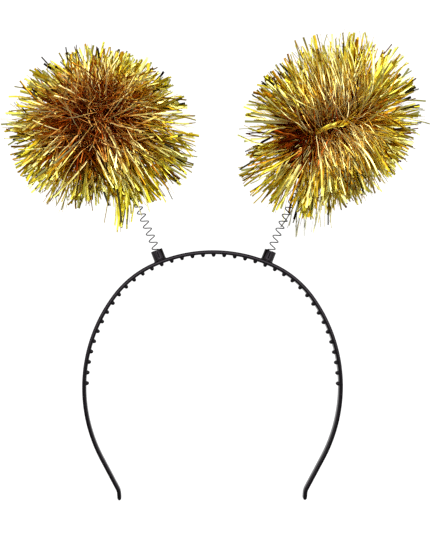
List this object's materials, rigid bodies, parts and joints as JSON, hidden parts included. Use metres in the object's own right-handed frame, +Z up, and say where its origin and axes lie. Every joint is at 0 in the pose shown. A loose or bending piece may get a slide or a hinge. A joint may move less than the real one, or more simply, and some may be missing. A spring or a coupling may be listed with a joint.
{
  "type": "pompom headband",
  "caption": "Costume headband: a toothed plastic hair band with moulded sockets that hold wire springs, each topped by a ball of shiny gold foil strips.",
  "frame": {"origin": "middle of the inner face of the band's crown, where the band sits on the head", "axes": "+Z up as worn, from the head through the crown; +X to the right seen from the front; -Y is the front"},
  "size_m": [0.2224, 0.0856, 0.2439],
  "materials": {
    "band_plastic": "black injection-moulded plastic, glossy with soft mould texture",
    "spring_steel": "bright drawn spring wire",
    "gold_tinsel": "gold metallised plastic film cut into thin strips, mirror bright"
  },
  "bodies": {
    "root": {"headband": "band_plastic", "spring_left": "spring_steel", "spring_right": "spring_steel", "pompom_left": "gold_tinsel", "pompom_right": "gold_tinsel"}
  },
  "joints": []
}
